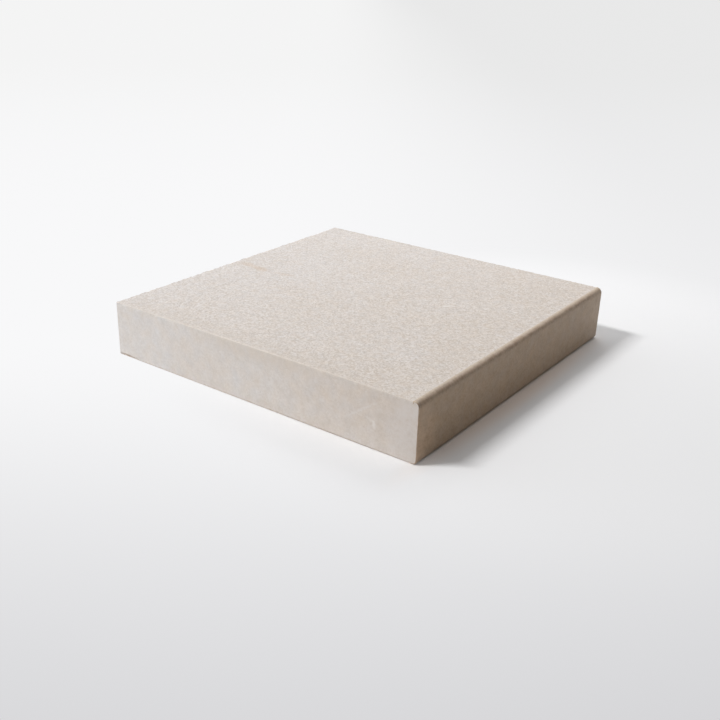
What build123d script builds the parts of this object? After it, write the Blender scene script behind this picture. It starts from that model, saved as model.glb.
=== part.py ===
from build123d import *

import os

# Marble pool coping: one block of stone, sawn square, with its pool edge rounded.
# X runs along the pool edge, -Y faces the pool and +Z is up.
# The origin is the middle of the underside, where the stone beds in mortar.

# Driving dimensions, in millimetres.
LENGTH = 305.0  # along the pool edge, from one grout joint to the next
WIDTH = 305.0  # from the nosing face to the deck joint
THICKNESS = 48.0  # from the underside to the walking surface
NOSING_RADIUS = 5.0  # pencil round along the top edge over the pool
FOOT_RADIUS = 3.0  # eased lower edge of the nosing face
ARRIS = 1.0  # flat broken along every other sawn edge

PARTS_FOLDER = "parts"


def pool_side(section):
    """The corners on the pool side of a section, from the lowest to the highest."""
    return section.vertices().group_by(Axis.X)[0].sort_by(Axis.Y)


def coping_section():
    """The cross-section from pool to deck, which is the same all along the stone."""
    with BuildSketch(Plane.YZ) as section:
        Rectangle(WIDTH, THICKNESS, align=(Align.CENTER, Align.MIN))
        fillet(pool_side(section)[-1], NOSING_RADIUS)
        fillet(pool_side(section)[0], FOOT_RADIUS)
    return section.sketch


def coping_stone():
    """The section run along the pool edge, with the arrises of the ends and the deck side broken."""
    with BuildPart() as stone:
        extrude(coping_section(), amount=LENGTH / 2, both=True)
        end_edges = stone.faces().filter_by(Axis.X).edges()
        deck_edges = stone.edges().filter_by(Axis.X).group_by(Axis.Y)[-1]
        chamfer(end_edges + deck_edges, ARRIS)
    return stone.part


os.makedirs(PARTS_FOLDER, exist_ok=True)
export_step(coping_stone(), os.path.join(PARTS_FOLDER, "coping_stone.step"))
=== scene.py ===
"""Scene of a marble pool coping: blasted top, honed nosing and sides, on a pale floor in soft light."""

import logging
import math
from collections.abc import Callable
from dataclasses import dataclass, field
from enum import Enum
from typing import Any

import bmesh
import bpy
from mathutils import Matrix, Vector


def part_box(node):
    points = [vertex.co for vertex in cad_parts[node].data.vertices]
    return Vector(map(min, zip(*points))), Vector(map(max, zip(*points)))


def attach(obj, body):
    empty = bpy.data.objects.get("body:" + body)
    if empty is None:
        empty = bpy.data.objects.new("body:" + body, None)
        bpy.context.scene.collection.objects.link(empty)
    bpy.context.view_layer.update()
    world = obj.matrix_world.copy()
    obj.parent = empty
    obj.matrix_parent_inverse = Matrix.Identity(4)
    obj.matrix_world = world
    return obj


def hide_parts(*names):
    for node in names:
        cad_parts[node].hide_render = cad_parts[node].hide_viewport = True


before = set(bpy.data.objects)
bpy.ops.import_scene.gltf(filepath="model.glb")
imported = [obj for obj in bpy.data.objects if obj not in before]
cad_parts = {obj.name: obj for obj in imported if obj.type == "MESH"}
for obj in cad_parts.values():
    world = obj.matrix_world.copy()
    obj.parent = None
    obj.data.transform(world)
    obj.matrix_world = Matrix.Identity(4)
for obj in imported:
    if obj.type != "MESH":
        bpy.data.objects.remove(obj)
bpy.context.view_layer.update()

LOG = logging.getLogger("pool_coping")

MM = 0.001
NODE = "coping_stone"
BODY = "root"
PIECE = "blasted_coping"
IMAGE_PIXELS = 720

# The axes of a vector.
X, Y, Z = range(3)

# The stone's box, in millimetres: where its ends, pool face, deck side and walking surface are.
LOW, HIGH = (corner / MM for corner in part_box(NODE))
LEFT_X, RIGHT_X, POOL_Y, DECK_Y, TOP_Z = LOW.x, HIGH.x, LOW.y, HIGH.y, HIGH.z

# Sockets of the colour mix node, which has several of the same name.
MIX_FACTOR, MIX_A, MIX_B, MIX_RESULT = 0, 6, 7, 2

# A mark fades to its ends, so one that runs the whole length of a side goes well past it.
POOL_RUN, END_RUN, RIM_RUN = 400.0, 300.0, 60.0

# A pattern that is at mid grey leaves the colour under it as it is.
MID_GREY = 0.5

Colour = tuple[float, float, float, float]
Place = tuple[float, float, float]
Spot = tuple[float, float]
Socket = bpy.types.NodeSocket
Tree = bpy.types.NodeTree


def linear(hex_colour: str) -> Colour:
    """Turns an sRGB hex colour into linear light.

    Args:
        hex_colour: A colour such as "#d8d0c8".

    Returns:
        Linear red, green and blue, and an alpha of 1.
    """
    shares = [int(hex_colour[i : i + 2], 16) / 255 for i in (1, 3, 5)]
    rgb = [s / 12.92 if s <= 0.04045 else ((s + 0.055) / 1.055) ** 2.4 for s in shares]
    return (rgb[0], rgb[1], rgb[2], 1.0)


def add_node(
    tree: Tree, kind: str, inputs: dict[str | int, Any] | None = None, **settings: Any
) -> bpy.types.Node:
    """Adds one node to a tree, with its settings and links.

    Args:
        tree: The node tree to add to.
        kind: The node's type, such as "ShaderNodeMath".
        inputs: Values for the node's inputs, or sockets to link to them.
        settings: The node's own settings.

    Returns:
        The new node.
    """
    node = tree.nodes.new(kind)
    for name, value in settings.items():
        setattr(node, name, value)
    for key, value in (inputs or {}).items():
        if isinstance(value, bpy.types.NodeSocket):
            tree.links.new(value, node.inputs[key])
        else:
            node.inputs[key].default_value = value
    return node


def per_mm(size: float) -> float:
    """The scale of a texture whose features are this many millimetres across."""
    return 1.0 / (size * MM)


def new_material(name: str) -> tuple[bpy.types.Material, Tree, Socket]:
    """Starts a material with no nodes but its object coordinates.

    Args:
        name: The material's name.

    Returns:
        The material, its node tree and the socket of its object coordinates.
    """
    material = bpy.data.materials.new(name)
    material.use_nodes = True
    tree = material.node_tree
    tree.nodes.clear()
    place = add_node(tree, "ShaderNodeTexCoord")
    return material, tree, place.outputs["Object"]


def shown_rays(tree: Tree) -> Socket:
    """A share that is 1 for rays that show the eye a tone: straight on, in a gloss or through glass.

    Args:
        tree: The node tree to add to.

    Returns:
        The share, which is 0 for the rays that carry light.
    """
    ray = add_node(tree, "ShaderNodeLightPath")
    shown = ray.outputs["Is Camera Ray"]
    for kind in ("Is Glossy Ray", "Is Transmission Ray"):
        either = add_node(
            tree, "ShaderNodeMath", {0: shown, 1: ray.outputs[kind]}, operation="MAXIMUM"
        )
        shown = either.outputs["Value"]
    return shown


class Side(Enum):
    """The faces of the stone, each with its own finish."""

    TOP = "walking surface"
    POOL = "nosing and pool face"
    JOINT = "ends and deck side"
    ARRIS = "broken edges of the walking surface"
    BED = "underside"


class Facing(Enum):
    """Directions from the stone, for its faces and for the light that reaches them."""

    UP = (0.0, 0.0, 1.0)
    LEFT = (-1.0, 0.0, 0.0)
    POOL = (0.0, -1.0, 0.0)
    DECK = (0.0, 1.0, 0.0)

    def place(self, spot: Spot, back: float) -> Vector:
        """The place of a spot on the side of the stone that faces this way, in millimetres.

        Args:
            spot: X and Y on the top, Y and Z on the left end, or X and Z on the pool and deck sides.
            back: How far the place lies behind that side.

        Returns:
            The place.
        """
        first, second = spot
        places = {
            Facing.UP: (first, second, TOP_Z - back),
            Facing.LEFT: (LEFT_X + back, first, second),
            Facing.POOL: (first, POOL_Y + back, second),
            Facing.DECK: (first, DECK_Y - back, second),
        }
        return Vector(places[self])


class Wear(Enum):
    """The groups of vertices that the stone's relief is pressed into."""

    BLASTED = "blasted"
    WORN = "worn"


@dataclass(frozen=True)
class Mark:
    """A soft-edged oval on one side, such as a vein's stroke or painted light or shade, in millimetres.

    It has its full strength in its core, which is a share of the oval, and fades from there to its
    outline. It reaches its depth to both sides of its middle, which may lie behind the side.
    """

    start: Spot
    end: Spot
    facing: Facing
    width: float
    colour: str
    strength: float
    back: float = 0.0
    depth: float = 3.0
    core: float = 0.3

    def paint(
        self, tree: Tree, place: Socket, under: Socket | Colour, grit: Socket | float
    ) -> Socket:
        """Lays the mark over a colour.

        Args:
            tree: The material's node tree.
            place: Object coordinates, ragged enough to roughen the mark's outline.
            under: The colour that the mark crosses.
            grit: A share of the mark that shows from place to place.

        Returns:
            The colour with the mark in it.
        """
        start, end = (self.facing.place(spot, self.back) * MM for spot in (self.start, self.end))
        along = (end - start).normalized()
        normal = Vector(self.facing.value)
        turn = Matrix((along, normal.cross(along), normal)).transposed().to_euler()
        half = Vector(((end - start).length / 2, self.width * MM / 2, self.depth * MM))
        own = add_node(
            tree,
            "ShaderNodeMapping",
            {"Vector": place, "Location": (start + end) / 2, "Rotation": turn, "Scale": half},
            vector_type="TEXTURE",
        )
        reach = add_node(tree, "ShaderNodeVectorMath", {0: own.outputs["Vector"]}, operation="LENGTH")
        inside = add_node(
            tree,
            "ShaderNodeMapRange",
            {
                "Value": reach.outputs["Value"],
                "From Min": 1.0,
                "From Max": self.core,
                "To Max": self.strength,
            },
            interpolation_type="SMOOTHSTEP",
        )
        share = add_node(
            tree, "ShaderNodeMath", {0: inside.outputs["Result"], 1: grit}, operation="MULTIPLY"
        )
        laid = add_node(
            tree,
            "ShaderNodeMix",
            {MIX_FACTOR: share.outputs["Value"], MIX_A: under, MIX_B: linear(self.colour)},
            data_type="RGBA",
        )
        return laid.outputs[MIX_RESULT]


@dataclass(frozen=True)
class Marble:
    """Beige marble: warm towards the pool and greyer towards the deck, with a close crystal grain.

    The crystals are drawn coarser than the stone's own, which are under a millimetre, so that
    they show. Sizes are in millimetres.
    """

    name: str
    pool_tone: str
    deck_tone: str
    roughness: float
    grain_contrast: float
    crystal_contrast: float
    mottle_contrast: float
    fleck_colour: str
    fleck_strength: float
    bump: float
    marks: tuple[Mark, ...] = ()
    grain: float = 9.0
    grain_detail: float = 4.0
    grain_harshness: float = 0.8
    crystal: float = 1.4
    mottle: float = 10.0
    mottle_detail: float = 3.0
    cloud: float = 60.0
    cloud_detail: float = 3.0
    cloud_reach: float = 110.0
    fleck_spacing: float = 15.0
    fleck_size: float = 1.6
    # A fleck comes in between these shares of its radius, from its outline to its core.
    fleck_edge: tuple[float, float] = (1.4, 0.5)
    ragged_size: float = 2.5
    ragged_detail: float = 2.0
    ragged_reach: float = 0.7
    # A mark has its least share below this band of the grain, and shows in full above it.
    grit_band: tuple[float, float] = (0.35, 0.6)
    grit_least: float = 0.35
    bump_depth: float = 0.3
    roughness_swing: float = 0.06
    grain_tint: Place = (0.92, 1.0, 1.1)
    mottle_tint: Place = (0.75, 0.1, -0.65)
    ior: float = 1.5

    def material(self) -> bpy.types.Material:
        """Makes the material: its tone, grain, flecks and marks, its polish and its fine bump.

        Returns:
            The material.
        """
        material, tree, place = new_material(self.name)
        grain = add_node(
            tree,
            "ShaderNodeTexNoise",
            {
                "Vector": place,
                "Scale": per_mm(self.grain),
                "Detail": self.grain_detail,
                "Roughness": self.grain_harshness,
            },
        ).outputs["Fac"]
        colour = self.layers(tree, place, self.tone(tree, place), grain)
        ragged = self.ragged(tree, place)
        colour = self.flecks(tree, ragged, colour)
        grit_from, grit_to = self.grit_band
        grit = add_node(
            tree,
            "ShaderNodeMapRange",
            {"Value": grain, "From Min": grit_from, "From Max": grit_to, "To Min": self.grit_least},
        )
        for mark in self.marks:
            colour = mark.paint(tree, ragged, colour, grit.outputs["Result"])
        polish = add_node(
            tree,
            "ShaderNodeMapRange",
            {
                "Value": grain,
                "To Min": self.roughness - self.roughness_swing,
                "To Max": self.roughness + self.roughness_swing,
            },
        )
        relief = add_node(
            tree,
            "ShaderNodeBump",
            {"Strength": self.bump, "Distance": self.bump_depth * MM, "Height": grain},
        )
        surface = add_node(
            tree,
            "ShaderNodeBsdfPrincipled",
            {
                "Base Color": colour,
                "Roughness": polish.outputs["Result"],
                "IOR": self.ior,
                "Normal": relief.outputs["Normal"],
            },
        )
        add_node(tree, "ShaderNodeOutputMaterial", {"Surface": surface.outputs["BSDF"]})
        return material

    def tone(self, tree: Tree, place: Socket) -> Socket:
        """The stone's ground colour, which drifts from the pool side to the deck side.

        Args:
            tree: The material's node tree.
            place: Object coordinates.

        Returns:
            The colour.
        """
        axes = add_node(tree, "ShaderNodeSeparateXYZ", {"Vector": place})
        clouds = add_node(
            tree,
            "ShaderNodeTexNoise",
            {"Vector": place, "Scale": per_mm(self.cloud), "Detail": self.cloud_detail},
            normalize=False,
        )
        drift = add_node(
            tree,
            "ShaderNodeMath",
            {0: clouds.outputs["Fac"], 1: self.cloud_reach * MM, 2: axes.outputs["Y"]},
            operation="MULTIPLY_ADD",
        )
        share = add_node(
            tree,
            "ShaderNodeMapRange",
            {"Value": drift.outputs["Value"], "From Min": POOL_Y * MM, "From Max": DECK_Y * MM},
        )
        ground = add_node(
            tree,
            "ShaderNodeMix",
            {
                MIX_FACTOR: share.outputs["Result"],
                MIX_A: linear(self.pool_tone),
                MIX_B: linear(self.deck_tone),
            },
            data_type="RGBA",
        )
        return ground.outputs[MIX_RESULT]

    def layers(self, tree: Tree, place: Socket, ground: Socket, grain: Socket) -> Socket:
        """Lays the grain, the crystals and the mottle over the ground colour.

        Pale grains are whiter and dark ones warmer than the ground, so there blue swings most. The
        mottle goes between pinkish and greyish, so there red and blue swing against each other.

        Args:
            tree: The material's node tree.
            place: Object coordinates.
            ground: The ground colour.
            grain: The noise of the grain.

        Returns:
            The colour with its patterns.
        """
        cells = add_node(
            tree, "ShaderNodeTexVoronoi", {"Vector": place, "Scale": per_mm(self.crystal)}
        )
        crystals = add_node(tree, "ShaderNodeRGBToBW", {"Color": cells.outputs["Color"]})
        mottle = add_node(
            tree,
            "ShaderNodeTexNoise",
            {"Vector": place, "Scale": per_mm(self.mottle), "Detail": self.mottle_detail},
        )
        colour = ground
        for pattern, contrast, tint in (
            (grain, self.grain_contrast, self.grain_tint),
            (crystals.outputs["Val"], self.crystal_contrast, self.grain_tint),
            (mottle.outputs["Fac"], self.mottle_contrast, self.mottle_tint),
        ):
            middle = tuple(MID_GREY - MID_GREY * swing for swing in tint)
            tinted = add_node(
                tree,
                "ShaderNodeVectorMath",
                {0: pattern, 1: tint, 2: middle},
                operation="MULTIPLY_ADD",
            )
            layer = add_node(
                tree,
                "ShaderNodeMix",
                {MIX_FACTOR: contrast, MIX_A: colour, MIX_B: tinted.outputs["Vector"]},
                data_type="RGBA",
                blend_type="LINEAR_LIGHT",
            )
            colour = layer.outputs[MIX_RESULT]
        return colour

    def ragged(self, tree: Tree, place: Socket) -> Socket:
        """Object coordinates pulled about a little, for marks with a rough outline.

        Args:
            tree: The material's node tree.
            place: Object coordinates.

        Returns:
            The ragged coordinates.
        """
        pull = add_node(
            tree,
            "ShaderNodeTexNoise",
            {
                "Vector": place,
                "Scale": per_mm(self.ragged_size),
                "Detail": self.ragged_detail,
            },
            normalize=False,
        )
        reach = (self.ragged_reach * MM,) * 3
        pulled = add_node(
            tree,
            "ShaderNodeVectorMath",
            {0: pull.outputs["Color"], 1: reach, 2: place},
            operation="MULTIPLY_ADD",
        )
        return pulled.outputs["Vector"]

    def flecks(self, tree: Tree, place: Socket, under: Socket) -> Socket:
        """Lays stray flecks of pale crystal over a colour.

        Args:
            tree: The material's node tree.
            place: Ragged object coordinates.
            under: The colour under the flecks.

        Returns:
            The colour with the flecks in it.
        """
        cells = add_node(
            tree, "ShaderNodeTexVoronoi", {"Vector": place, "Scale": per_mm(self.fleck_spacing)}
        )
        radius = self.fleck_size / self.fleck_spacing / 2
        outline, core = (share * radius for share in self.fleck_edge)
        spot = add_node(
            tree,
            "ShaderNodeMapRange",
            {
                "Value": cells.outputs["Distance"],
                "From Min": outline,
                "From Max": core,
                "To Max": self.fleck_strength,
            },
            interpolation_type="SMOOTHSTEP",
        )
        laid = add_node(
            tree,
            "ShaderNodeMix",
            {MIX_FACTOR: spot.outputs["Result"], MIX_A: under, MIX_B: linear(self.fleck_colour)},
            data_type="RGBA",
        )
        return laid.outputs[MIX_RESULT]


@dataclass(frozen=True)
class PalePaper:
    """Matt white paper, in millimetres: bright round the stone, dimmer in front and on the right.

    Near the stone the lamps light it, so it keeps the shadow, and further off the eye sees an even
    tone. A painted warm shadow lies before the pool face's foot, and there the floor gives back a
    dim, warm light.
    """

    name: str = "matt_white_paper"
    sheet: str = "#fbfbfc"
    # Before the pool face the paper gives back this light, which comes in between two values of Y.
    pool_bounce: str = "#b9a691"
    bounce_reach: tuple[float, float] = (-135.0, -165.0)
    # The even tone, and what dims it in front, far off and on the right, each between two distances.
    bright: str = "#f8f8f9"
    front: str = "#d1d1d3"
    far: str = "#fbfbfa"
    right: str = "#f3f3f3"
    front_reach: tuple[float, float] = (0.0, -703.0)
    far_reach: tuple[float, float] = (265.0, 2204.0)
    right_reach: tuple[float, float] = (137.0, -539.0)
    # Degrees from X to the way that the camera looks.
    view_turn: float = 37.0
    # The lit paper gives way to the even tone between these distances from the shadow's middle.
    shade_middle: Place = (70.0, -140.0, 0.0)
    even_reach: tuple[float, float] = (190.0, 340.0)
    # A painted warm shadow on the floor before the pool face's foot. The mark lies the stone's whole
    # height behind its top.
    painted_warm_shadow: Mark = Mark(
        (-215.0, POOL_Y),
        (195.0, POOL_Y),
        Facing.UP,
        width=40.0,
        colour="#f7e6d9",
        strength=0.65,
        back=TOP_Z,
        depth=10.0,
        core=0.25,
    )

    def material(self) -> bpy.types.Material:
        """Makes the material: paper with its shadows by the stone, and an even tone far off.

        Returns:
            The material.
        """
        material, tree, place = new_material(self.name)
        shown = shown_rays(tree)
        shaded = add_node(
            tree, "ShaderNodeBsdfDiffuse", {"Color": self.paper(tree, place, shown)}
        )
        even = add_node(tree, "ShaderNodeEmission", {"Color": self.far_tone(tree, place)})
        away = add_node(
            tree,
            "ShaderNodeVectorMath",
            {0: place, 1: Vector(self.shade_middle) * MM},
            operation="DISTANCE",
        )
        lit, even_from = (reach * MM for reach in self.even_reach)
        fade = add_node(
            tree,
            "ShaderNodeMapRange",
            {"Value": away.outputs["Value"], "From Min": lit, "From Max": even_from},
            interpolation_type="SMOOTHSTEP",
        )
        unlit = add_node(
            tree, "ShaderNodeMath", {0: fade.outputs["Result"], 1: shown}, operation="MULTIPLY"
        )
        surface = add_node(
            tree,
            "ShaderNodeMixShader",
            {0: unlit.outputs["Value"], 1: shaded.outputs[0], 2: even.outputs[0]},
        )
        add_node(tree, "ShaderNodeOutputMaterial", {"Surface": surface.outputs[0]})
        return material

    def paper(self, tree: Tree, place: Socket, shown: Socket) -> Socket:
        """The paper's colour: white to the eye, and dim and warm to the pool face.

        Before the pool face's foot it carries a painted warm shadow.

        Args:
            tree: The material's node tree.
            place: Object coordinates.
            shown: The share of the rays that show the paper to the eye.

        Returns:
            The colour.
        """
        axes = add_node(tree, "ShaderNodeSeparateXYZ", {"Vector": place})
        white_to, dim_from = (reach * MM for reach in self.bounce_reach)
        dim = add_node(
            tree,
            "ShaderNodeMapRange",
            {"Value": axes.outputs["Y"], "From Min": white_to, "From Max": dim_from},
            interpolation_type="SMOOTHSTEP",
        )
        unseen = add_node(tree, "ShaderNodeMath", {0: 1.0, 1: shown}, operation="SUBTRACT")
        share = add_node(
            tree,
            "ShaderNodeMath",
            {0: dim.outputs["Result"], 1: unseen.outputs["Value"]},
            operation="MULTIPLY",
        )
        # The sheet carries the painted warm shadow before the pool face's foot.
        sheet = self.painted_warm_shadow.paint(tree, place, linear(self.sheet), 1.0)
        colour = add_node(
            tree,
            "ShaderNodeMix",
            {
                MIX_FACTOR: share.outputs["Value"],
                MIX_A: sheet,
                MIX_B: linear(self.pool_bounce),
            },
            data_type="RGBA",
        )
        return colour.outputs[MIX_RESULT]

    def far_tone(self, tree: Tree, place: Socket) -> Socket | Colour:
        """The even tone that the eye sees away from the stone.

        Args:
            tree: The material's node tree.
            place: Object coordinates.

        Returns:
            The colour.
        """
        turned = add_node(
            tree,
            "ShaderNodeMapping",
            {"Vector": place, "Rotation": (0.0, 0.0, math.radians(-self.view_turn))},
        )
        axes = add_node(tree, "ShaderNodeSeparateXYZ", {"Vector": turned.outputs["Vector"]})
        colour: Socket | Colour = linear(self.bright)
        for axis, (none_at, full_at), tone in (
            ("X", self.front_reach, self.front),
            ("X", self.far_reach, self.far),
            ("Y", self.right_reach, self.right),
        ):
            share = add_node(
                tree,
                "ShaderNodeMapRange",
                {"Value": axes.outputs[axis], "From Min": none_at * MM, "From Max": full_at * MM},
                interpolation_type="SMOOTHSTEP",
            )
            dimmed = add_node(
                tree,
                "ShaderNodeMix",
                {MIX_FACTOR: share.outputs["Result"], MIX_A: colour, MIX_B: linear(tone)},
                data_type="RGBA",
                blend_type="MULTIPLY",
            )
            colour = dimmed.outputs[MIX_RESULT]
        return colour


@dataclass(frozen=True)
class Relief:
    """A pattern of dents, pressed into the vertices of one group, in millimetres.

    The texture is cut off at two levels: below the first a dent has its full depth, and above
    the second there is none.
    """

    name: str
    group: Wear
    size: float
    depth: float
    full_below: float = 0.0
    none_above: float = 1.0
    direction: str = "NORMAL"

    def press(self, stone: bpy.types.Object) -> None:
        """Presses the dents into the stone.

        Args:
            stone: The stone's object, which is the active one.
        """
        texture = bpy.data.textures.new(self.name, type="CLOUDS")
        texture.noise_scale = self.size * MM
        texture.use_color_ramp = True
        lowest, highest = texture.color_ramp.elements
        lowest.position, lowest.color = self.full_below, (0.0, 0.0, 0.0, 1.0)
        highest.position, highest.color = self.none_above, (1.0, 1.0, 1.0, 1.0)
        bpy.ops.object.modifier_add(type="DISPLACE")
        dents = stone.modifiers[-1]
        dents.name = self.name
        dents.texture = texture
        dents.texture_coords = "LOCAL"
        dents.direction = self.direction
        dents.vertex_group = self.group.value
        dents.strength = self.depth * MM
        dents.mid_level = 1.0
        bpy.ops.object.modifier_apply(modifier=dents.name)
        bpy.data.textures.remove(texture)


@dataclass
class CopingStone:
    """The one block of stone, modelled at the size of its CAD node, in metres."""

    finishes: dict[Side, bpy.types.Material]
    low: Vector = field(default_factory=lambda: LOW * MM)
    high: Vector = field(default_factory=lambda: HIGH * MM)
    nosing_radius: float = 5.0 * MM
    nosing_steps: int = 10
    foot_radius: float = 3.0 * MM
    foot_steps: int = 6
    arris: float = 1.0 * MM
    fine_arris: float = 0.4 * MM
    rim: float = 1.5 * MM
    coarse_cuts: int = 15
    fine_cuts: int = 16
    foot_cuts: int = 99
    corner_fill: float = 0.6 * MM
    corner_reach: float = 2.8 * MM
    # The foot's chip lies between these values of Y, and is pushed in and up by this much.
    chip_span: tuple[float, float] = (129.0 * MM, 151.0 * MM)
    chip_push: Place = (0.7 * MM, 0.0, 0.4 * MM)
    # The blast comes in over this length behind the nosing.
    blast_fade: float = 3.0 * MM
    # The ends' arrises are chipped to this share of the deck side's.
    end_wear: float = 0.35
    smooth_angle: float = 30.0
    # Two places closer than this are one, and a direction with this share along an axis follows it.
    near: float = 0.02 * MM
    flat: float = 0.999
    reliefs: tuple[Relief, ...] = (
        Relief("blast_waves", Wear.BLASTED, size=9.0, depth=0.12, direction="Z"),
        Relief("blast_pits", Wear.BLASTED, size=2.2, depth=0.12, direction="Z"),
        Relief("arris_chips", Wear.WORN, size=3.2, depth=0.8, full_below=0.3, none_above=0.6),
    )

    def build(self) -> bpy.types.Object:
        """Models the stone from a block: its edges, its fine grid, then its relief.

        Returns:
            The finished object, at the origin and unscaled.
        """
        bpy.ops.object.select_all(action="DESELECT")
        bpy.ops.mesh.primitive_cube_add(
            size=1.0, location=(self.low + self.high) / 2, scale=self.high - self.low
        )
        stone = bpy.context.object
        stone.name = PIECE
        stone.data.name = PIECE
        bpy.ops.object.transform_apply(location=True, rotation=True, scale=True)
        bpy.ops.object.mode_set(mode="EDIT")
        self.round_pool_side()
        bpy.ops.object.mode_set(mode="OBJECT")
        self.break_arrises(stone)
        bpy.ops.object.mode_set(mode="EDIT")
        self.rim_sides()
        self.divide()
        self.fill_corner()
        self.chip_foot()
        bpy.ops.object.mode_set(mode="OBJECT")
        self.weigh(stone)
        for relief in self.reliefs:
            relief.press(stone)
        bpy.ops.object.shade_smooth_by_angle(angle=math.radians(self.smooth_angle))
        for face in stone.data.polygons:
            face.use_smooth = abs(face.normal.x) < self.flat
        return stone

    def select_edges(self, wanted: Callable[[Vector, Vector], bool]) -> None:
        """Selects the edges whose two ends pass a test, and nothing else.

        Args:
            wanted: The test of an edge's two ends.
        """
        bpy.ops.mesh.select_all(action="DESELECT")
        mesh = bmesh.from_edit_mesh(bpy.context.object.data)
        for edge in mesh.edges:
            if wanted(edge.verts[0].co, edge.verts[1].co):
                edge.select_set(True)
        bmesh.update_edit_mesh(bpy.context.object.data)

    def is_at(self, axis: int, value: float) -> Callable[[Vector, Vector], bool]:
        """A test for edges that lie at one value of an axis."""
        return lambda a, b: max(abs(a[axis] - value), abs(b[axis] - value)) < self.near

    def round_pool_side(self) -> None:
        """Rounds the nosing and eases the foot, all along the pool side."""
        pool = self.is_at(Y, self.low.y)
        for level, radius, steps in (
            (self.high.z, self.nosing_radius, self.nosing_steps),
            (self.low.z, self.foot_radius, self.foot_steps),
        ):
            edge = self.is_at(Z, level)
            self.select_edges(lambda a, b: pool(a, b) and edge(a, b))
            bpy.ops.mesh.bevel(offset=radius, segments=steps, affect="EDGES")

    def break_arrises(self, stone: bpy.types.Object) -> None:
        """Breaks the arrises of the deck side and the ends, finest round the pool face and the top.

        Args:
            stone: The stone's object.
        """
        weights = stone.data.attributes.new("bevel_weight_edge", "FLOAT", "EDGE")
        for edge in stone.data.edges:
            a, b = (stone.data.vertices[i].co for i in edge.vertices)
            weights.data[edge.index].value = self.arris_share(a, b)
        bpy.ops.object.modifier_add(type="BEVEL")
        bevel = stone.modifiers[-1]
        bevel.limit_method = "WEIGHT"
        bevel.width = self.arris
        bevel.segments = 1
        bpy.ops.object.modifier_apply(modifier=bevel.name)

    def arris_share(self, a: Vector, b: Vector) -> float:
        """How much of the full arris an edge gets.

        Args:
            a: One end of the edge.
            b: The other end.

        Returns:
            A share from 0, which leaves the edge as it is, to 1.
        """
        if self.is_at(Y, self.high.y)(a, b):
            return 1.0
        if not any(self.is_at(X, end)(a, b) for end in (self.low.x, self.high.x)):
            return 0.0
        finest = self.fine_arris / self.arris
        drop = (self.low.z + self.foot_radius - (a.z + b.z) / 2) / self.foot_radius
        return finest + (1.0 - finest) * max(0.0, drop)

    def rim_sides(self) -> None:
        """Insets a narrow rim in the ends and the deck side, which keeps the wear off their flats."""
        bpy.ops.mesh.select_all(action="DESELECT")
        mesh = bmesh.from_edit_mesh(bpy.context.object.data)
        for face in mesh.faces:
            face.select_set(max(abs(face.normal.x), face.normal.y) > self.flat)
        bmesh.update_edit_mesh(bpy.context.object.data)
        bpy.ops.mesh.inset(thickness=self.rim, use_individual=True)

    def cut(self, axis: int, shortest: float, cuts: int, wanted: Callable[[Vector], bool]) -> None:
        """Divides the edges along one axis that are at least a given length.

        Args:
            axis: The axis that the edges run along.
            shortest: The least length of an edge to divide, in metres.
            cuts: How many cuts each edge gets.
            wanted: A test that both ends of an edge must pass.
        """

        def runs_along(a: Vector, b: Vector) -> bool:
            """True if the edge runs along the axis, is long enough and is wanted."""
            run, length = abs(b[axis] - a[axis]), (b - a).length
            return run > self.flat * length and length > shortest and wanted(a) and wanted(b)

        self.select_edges(runs_along)
        bpy.ops.mesh.subdivide(number_cuts=cuts)

    def divide(self) -> None:
        """Lays a fine grid over the walking surface and along every long edge."""
        size = self.high - self.low
        shoulder = self.high.z - self.arris - self.rim - self.near
        sole = self.low.z + self.arris + self.rim + self.near
        end = self.high.x - self.arris - self.near
        fine = size.x / (self.coarse_cuts + 1) / 2
        for length, cuts in ((size.x / 2, self.coarse_cuts), (fine, self.fine_cuts)):
            self.cut(X, length, cuts, lambda v: True)
            self.cut(Y, length, cuts, lambda v: v.z > shoulder)
        self.cut(Y, size.y / 2, self.foot_cuts, lambda v: v.z < sole and abs(v.x) > end)

    def fill_corner(self) -> None:
        """Leaves the nosing a little fuller at its left end, which tightens the corner there."""
        outward = Vector((0.0, -1.0, 1.0)).normalized()
        pivot = Vector(
            (self.low.x, self.low.y + self.nosing_radius, self.high.z - self.nosing_radius)
        )
        middle = pivot + outward * self.nosing_radius
        self.select_edges(lambda a, b: max((a - middle).length, (b - middle).length) < self.arris)
        bpy.ops.transform.translate(
            value=outward * self.corner_fill,
            use_proportional_edit=True,
            proportional_edit_falloff="SMOOTH",
            proportional_size=self.corner_reach,
        )

    def chip_foot(self) -> None:
        """Breaks a shallow chip out of the foot of the left end, by the deck corner."""
        start, stop = self.chip_span
        height = self.low.z + self.arris
        self.select_edges(
            lambda a, b: all(
                abs(v.x - self.low.x) < self.near
                and abs(v.z - height) < self.near
                and start < v.y < stop
                for v in (a, b)
            )
        )
        bpy.ops.transform.translate(value=self.chip_push)

    def weigh(self, stone: bpy.types.Object) -> None:
        """Groups the vertices that the blast and the wear reach, with how far each is reached.

        Args:
            stone: The stone's object.
        """
        blast = stone.vertex_groups.new(name=Wear.BLASTED.value)
        worn = stone.vertex_groups.new(name=Wear.WORN.value)
        tangent = self.low.y + self.nosing_radius
        reach = self.arris + self.near
        for vertex in stone.data.vertices:
            place = vertex.co
            if place.z > self.high.z - self.near:
                share = min(1.0, max(0.0, (place.y - tangent) / self.blast_fade))
                blast.add([vertex.index], share, "REPLACE")
            if place.z < self.high.z - reach or place.y < tangent:
                continue
            if place.y > self.high.y - reach:
                worn.add([vertex.index], 1.0, "REPLACE")
            elif abs(place.x) > self.high.x - reach:
                worn.add([vertex.index], self.end_wear, "REPLACE")

    def dress(self, stone: bpy.types.Object) -> None:
        """Gives each face the finish of the side that it is on.

        Args:
            stone: The stone's object.
        """
        sides = list(self.finishes)
        for side in sides:
            stone.data.materials.append(self.finishes[side])
        for face in stone.data.polygons:
            face.material_index = sides.index(self.side_of(face.center, face.normal))

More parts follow.
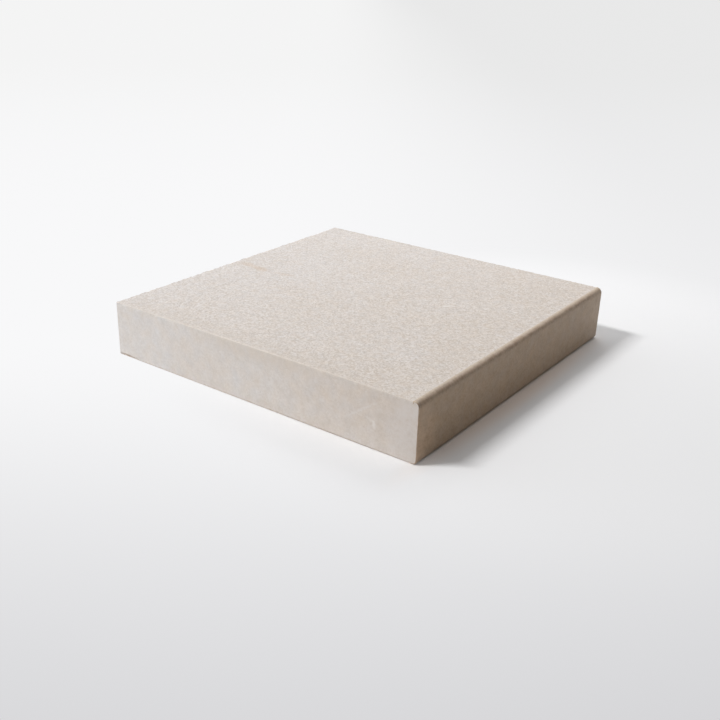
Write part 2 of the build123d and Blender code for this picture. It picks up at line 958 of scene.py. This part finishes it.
    def side_of(self, centre: Vector, normal: Vector) -> Side:
        """The side of the stone that a face belongs to.

        Args:
            centre: The face's centre.
            normal: The face's normal.

        Returns:
            The side.
        """
        inside = abs(centre.x) < self.high.x - self.fine_arris
        if normal.z < -self.flat:
            return Side.BED
        if centre.y < self.low.y + self.nosing_radius and abs(normal.x) < self.flat:
            return Side.POOL
        if centre.z < self.high.z - self.arris:
            return Side.JOINT
        if inside and centre.y < self.high.y - self.arris:
            return Side.TOP
        return Side.ARRIS


@dataclass(frozen=True)
class Lamp:
    """A soft lamp, in millimetres and watts, that leans towards the stone about the Y axis."""

    name: str
    place: Place
    size: tuple[float, float]
    power: float

    def hang(self) -> None:
        """Hangs the lamp."""
        x, _, z = self.place
        bpy.ops.object.light_add(
            type="AREA", location=Vector(self.place) * MM, rotation=(0.0, math.atan2(x, z), 0.0)
        )
        lamp = bpy.context.object
        lamp.name = self.name
        lamp.data.shape = "RECTANGLE"
        lamp.data.size, lamp.data.size_y = (side * MM for side in self.size)
        lamp.data.energy = self.power


@dataclass
class Studio:
    """The pale floor, the soft light and the camera, in metres and degrees."""

    azimuth: float = -53.08
    elevation: float = 23.68
    roll: float = 1.19
    distance: float = 822.5 * MM
    target: Vector = field(default_factory=lambda: Vector((-43.7, 0.8, 0.0)) * MM)
    # The focal length and the optical axis, in pixels of the picture, and the sensor's millimetres.
    focal_pixels: float = 953.6
    axis_pixel: float = 335.0
    sensor: float = 36.0
    lamps: tuple[Lamp, ...] = (
        Lamp("key", place=(-1168.0, 1100.0, 1948.0), size=(270.0, 790.0), power=42.6),
        Lamp("side", place=(750.0, 80.0, 800.0), size=(600.0, 1000.0), power=4.6),
    )
    # The sky's light from each side, and the power that narrows it.
    fill: dict[Facing, float] = field(
        default_factory=lambda: {Facing.LEFT: 0.54, Facing.DECK: 1.05, Facing.UP: 0.22}
    )
    fill_focus: float = 2.0
    backdrop: str = "#f1f2f4"
    floor_size: float = 30.0
    floor_drop: float = 0.05 * MM

    def build(self) -> None:
        """Sets the floor, the lamps, the sky and the camera."""
        self.lay_floor()
        for lamp in self.lamps:
            lamp.hang()
        self.paint_sky()
        self.set_camera()
        bpy.context.scene.view_settings.view_transform = "Standard"

    def lay_floor(self) -> None:
        """Lays the floor under the stone."""
        bpy.ops.object.select_all(action="DESELECT")
        bpy.ops.mesh.primitive_plane_add(
            size=self.floor_size, location=(0.0, 0.0, -self.floor_drop)
        )
        bpy.ops.object.transform_apply(location=True, rotation=True, scale=True)
        floor = bpy.context.object
        floor.name = "floor"
        floor.data.materials.append(PalePaper().material())

    def paint_sky(self) -> None:
        """Makes the sky: a soft fill from three sides, and a pale backdrop to the eye."""
        world = bpy.data.worlds.new("studio")
        bpy.context.scene.world = world
        world.use_nodes = True
        tree = world.node_tree
        tree.nodes.clear()
        place = add_node(tree, "ShaderNodeTexCoord")
        total: Socket | float = 0.0
        for facing, level in self.fill.items():
            towards = add_node(
                tree,
                "ShaderNodeVectorMath",
                {0: place.outputs["Generated"], 1: facing.value},
                operation="DOT_PRODUCT",
            )
            front = add_node(
                tree, "ShaderNodeMath", {0: towards.outputs["Value"], 1: 0.0}, operation="MAXIMUM"
            )
            glow = add_node(
                tree,
                "ShaderNodeMath",
                {0: front.outputs["Value"], 1: self.fill_focus},
                operation="POWER",
            )
            added = add_node(
                tree,
                "ShaderNodeMath",
                {0: glow.outputs["Value"], 1: level, 2: total},
                operation="MULTIPLY_ADD",
            )
            total = added.outputs["Value"]
        light = add_node(tree, "ShaderNodeBackground", {"Strength": total})
        seen = add_node(tree, "ShaderNodeBackground", {"Color": linear(self.backdrop)})
        either = add_node(
            tree,
            "ShaderNodeMixShader",
            {0: shown_rays(tree), 1: light.outputs[0], 2: seen.outputs[0]},
        )
        add_node(tree, "ShaderNodeOutputWorld", {"Surface": either.outputs[0]})

    def set_camera(self) -> None:
        """Stands the camera where the picture was taken from."""
        around, up = math.radians(self.azimuth), math.radians(self.elevation)
        back = Vector(
            (math.sin(around) * math.cos(up), -math.cos(around) * math.cos(up), math.sin(up))
        )
        bpy.ops.object.camera_add(location=self.target + back * self.distance)
        camera = bpy.context.object
        camera.rotation_mode = "QUATERNION"
        level = (-back).to_track_quat("-Z", "Y").to_matrix()
        tilted = level @ Matrix.Rotation(math.radians(self.roll), 3, "Z")
        camera.rotation_quaternion = tilted.to_quaternion()
        camera.data.sensor_width = self.sensor
        camera.data.lens = self.focal_pixels / IMAGE_PIXELS * self.sensor
        camera.data.shift_x = (IMAGE_PIXELS / 2 - self.axis_pixel) / IMAGE_PIXELS
        bpy.context.scene.camera = camera


def top_marks() -> tuple[Mark, ...]:
    """The marks of the walking surface.

    Painted shade lies in a warm band along the left end, with a pale line at its edge that is partly
    the smooth rubbed rim and partly a painted highlight. A brown streak comes in from the deck edge,
    and a broken white vein crosses the middle towards the pool.

    Returns:
        The marks, in the order in which they are laid.
    """
    streak = (
        ((-3.0, 150.0), (-5.5, 122.0), 14.0, 0.4),
        ((-4.5, 132.0), (-8.5, 104.0), 14.0, 0.5),
        ((-7.0, 108.0), (-2.0, 76.0), 9.0, 0.3),
    )
    vein = (
        ((-16.0, -35.0), (-6.0, -48.0)),
        ((16.0, -62.0), (26.0, -76.0)),
        ((34.0, -94.0), (40.0, -102.0)),
        ((43.0, -118.0), (49.0, -126.0)),
    )
    # Painted shade: a warm, darker band on the top along its left end.
    shade = Mark(
        (LEFT_X, -170.0), (LEFT_X, 230.0), Facing.UP, width=56.0, colour="#c9bbab", strength=0.25
    )
    # Partly the smooth rubbed rim, partly a painted highlight where the left edge catches the light.
    rim = Mark(
        (LEFT_X, POOL_Y - RIM_RUN),
        (LEFT_X, DECK_Y + RIM_RUN),
        Facing.UP,
        width=6.0,
        colour="#e9ded4",
        strength=0.6,
        core=0.2,
    )
    brown = [
        Mark(start, end, Facing.UP, width, "#c8ad90", strength)
        for start, end, width, strength in streak
    ]
    white = [
        Mark(start, end, Facing.UP, width=5.0, colour="#f4f1ef", strength=0.6, core=0.1)
        for start, end in vein
    ]
    return (shade, rim, *brown, *white)


def end_marks() -> tuple[Mark, ...]:
    """The marks of the left end.

    Painted shade runs brown along its foot, and the chip by the deck is brown, partly its own colour
    and partly painted shadow in the chip. By the pool corner it has two pale scuffs, a scratch and a
    pale patch of painted light, and in the middle painted warm shade lies under the top edge.

    Returns:
        The marks, in the order in which they are laid.
    """
    strokes = (
        # The chip by the deck: its own brown, darkened with painted shadow in the chip.
        ((130.0, 1.2), (152.0, 1.2), 2.4, "#a07c58", 0.8),
        # Painted shade: a brown line all along the foot, where the end meets the floor.
        ((-END_RUN, 0.4), (END_RUN, 0.4), 2.6, "#a98b6c", 0.55),
        ((-107.5, 25.2), (-118.0, 21.0), 3.4, "#ebe6e1", 0.6),
        ((-115.2, 24.5), (-117.6, 15.0), 4.0, "#ebe6e1", 0.75),
        ((-84.0, 13.5), (-126.0, 43.0), 2.8, "#e4dfdb", 0.55),
        # Painted light: a pale patch that lifts the end by the pool corner.
        ((-188.0, 26.0), (-118.0, 26.0), 100.0, "#ded8d4", 0.9),
        # Painted shade: a warm band under the top edge.
        ((70.0, 46.0), (-80.0, 46.0), 30.0, "#cbbba9", 0.35),
    )
    return tuple(
        Mark(start, end, Facing.LEFT, width, colour, strength)
        for start, end, width, colour, strength in strokes
    )


def pool_painted_light() -> tuple[Mark, ...]:
    """Painted light on the pool face: pale patches at its ends, and a faint one low on its right half.

    Returns:
        The marks, in the order in which they are laid.
    """
    patches = (
        # Painted light at the left end.
        ((LEFT_X, -28.0), (LEFT_X, 58.0), 68.0, "#f8e4d0", 0.9, 0.1),
        # Painted light at the right end.
        ((105.0, 26.0), (215.0, 26.0), 80.0, "#e9d9c6", 0.75, 0.2),
        # Faint painted light low on the right half.
        ((5.0, 15.0), (140.0, 13.0), 26.0, "#e9d9c6", 0.28, 0.1),
    )
    return tuple(
        Mark(start, end, Facing.POOL, width, colour, strength, core=core)
        for start, end, width, colour, strength, core in patches
    )


def pool_marks() -> tuple[Mark, ...]:
    """The marks of the pool face.

    Over its painted light, the nosing is brown, partly its own honed tone and partly painted shade on
    the round, darker on its left half, with a thin line of painted shade below. Painted shade darkens
    the foot, a painted highlight lies on the right edge by its foot, three pale flecks lie on the
    left, and the nosing has a bruise at its left end.

    Returns:
        The marks, in the order in which they are laid.
    """
    lip_z, darker_left_lip_z, painted_shade_line_z, bruise_z = TOP_Z - 1.2, TOP_Z - 1.1, TOP_Z - 2.1, TOP_Z - 1.4
    # Partly the nosing's own honed brown, partly painted shade on the round.
    lip = Mark(
        (-POOL_RUN, lip_z),
        (POOL_RUN, lip_z),
        Facing.POOL,
        width=8.8,
        colour="#a18366",
        strength=0.9,
        back=1.8,
        depth=4.4,
        core=0.14,
    )
    # Darker brown over the left half of the nosing.
    darker_left_lip = Mark(
        (-280.0, darker_left_lip_z),
        (-20.0, darker_left_lip_z),
        Facing.POOL,
        width=10.0,
        colour="#7d6348",
        strength=0.4,
        back=2.2,
        depth=5.0,
        core=0.1,
    )
    # Painted shade: a thin dark line where the round meets the flat face.
    painted_shade_line = Mark(
        (-POOL_RUN, painted_shade_line_z),
        (POOL_RUN, painted_shade_line_z),
        Facing.POOL,
        width=3.8,
        colour="#6f5740",
        strength=0.4,
        back=0.95,
        depth=1.9,
        core=0.1,
    )
    # Painted shade along the foot, where the face meets the floor.
    foot = Mark(
        (-POOL_RUN, 0.0),
        (POOL_RUN, 0.0),
        Facing.POOL,
        width=12.0,
        colour="#7a6a59",
        strength=0.34,
        depth=6.0,
        core=0.15,
    )
    # Painted highlight where the right edge catches the light, by its foot.
    edge = Mark(
        (RIGHT_X, -6.0), (RIGHT_X, 30.0), Facing.POOL, width=3.4, colour="#f3e9dd", strength=0.8
    )
    pale = [
        Mark((x - 1.2, z), (x + 1.2, z - 0.6), Facing.POOL, 1.6, colour="#e9dfd4", strength=0.7)
        for x, z in ((-106.0, 31.0), (-89.0, 32.0), (-58.0, 23.0))
    ]
    bruise = Mark(
        (LEFT_X - 5.5, bruise_z),
        (LEFT_X + 7.5, bruise_z),
        Facing.POOL,
        width=7.0,
        colour="#75593f",
        strength=0.85,
        back=1.5,
        depth=4.0,
    )
    return (*pool_painted_light(), lip, darker_left_lip, painted_shade_line, foot, edge, *pale, bruise)


def finishes() -> dict[Side, Marble]:
    """The finish of each side of the stone.

    Returns:
        A marble for each side.
    """
    return {
        # Blasting with sand bruises the crystals: matt and pale, with a close sandy speckle.
        Side.TOP: Marble(
            "sandblasted_beige_marble",
            pool_tone="#d6ccc3",
            deck_tone="#d9d2cd",
            roughness=0.85,
            grain_contrast=0.1,
            crystal_contrast=0.135,
            mottle_contrast=0.035,
            fleck_colour="#f3f0ee",
            fleck_strength=0.5,
            bump=0.3,
            marks=top_marks(),
            grain=4.5,
            crystal=1.2,
            mottle=5.0,
        ),
        # Honing closes the surface: smooth with a dull sheen, and the stone's colour comes out. Its
        # tone is also darker and warmer than the ends' as painted shade, for this face stays in shade.
        Side.POOL: Marble(
            "honed_beige_marble_with_painted_warm_shade",
            pool_tone="#cebca7",
            deck_tone="#cebca7",
            roughness=0.45,
            grain_contrast=0.17,
            crystal_contrast=0.05,
            mottle_contrast=0.05,
            fleck_colour="#e4d9cd",
            fleck_strength=0.35,
            bump=0.05,
            marks=pool_marks(),
        ),
        # The ends are honed too, on a greyer part of the block, with soft pinkish clouds.
        Side.JOINT: Marble(
            "honed_grey_beige_marble",
            pool_tone="#d7cdc4",
            deck_tone="#d8d2cd",
            roughness=0.6,
            grain_contrast=0.11,
            crystal_contrast=0.035,
            mottle_contrast=0.045,
            fleck_colour="#e6e2de",
            fleck_strength=0.35,
            bump=0.05,
            marks=end_marks(),
            mottle=11.0,
        ),
        # A rubbing stone takes the sharp edge off and leaves a smooth cream line.
        Side.ARRIS: Marble(
            "rubbed_cream_marble",
            pool_tone="#d6cabf",
            deck_tone="#dfd7d0",
            roughness=0.6,
            grain_contrast=0.08,
            crystal_contrast=0.03,
            mottle_contrast=0.04,
            fleck_colour="#efe9e0",
            fleck_strength=0.4,
            bump=0.1,
        ),
        # The saw leaves the underside dull and a little rough.
        Side.BED: Marble(
            "sawn_beige_marble",
            pool_tone="#cec5bd",
            deck_tone="#cfcac5",
            roughness=0.8,
            grain_contrast=0.08,
            crystal_contrast=0.03,
            mottle_contrast=0.03,
            fleck_colour="#e0dbd6",
            fleck_strength=0.3,
            bump=0.2,
        ),
    }


def main() -> None:
    """Builds the stone and the studio, and reports each piece."""
    logging.basicConfig(level=logging.INFO, format="%(name)s: %(message)s")
    coping = CopingStone({side: marble.material() for side, marble in finishes().items()})
    stone = coping.build()
    coping.dress(stone)
    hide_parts(NODE)
    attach(stone, BODY)
    LOG.info("%s: %d faces", stone.name, len(stone.data.polygons))
    Studio().build()
    LOG.info("floor, lamps, sky and camera are set")


if __name__ == "__main__":
    main()
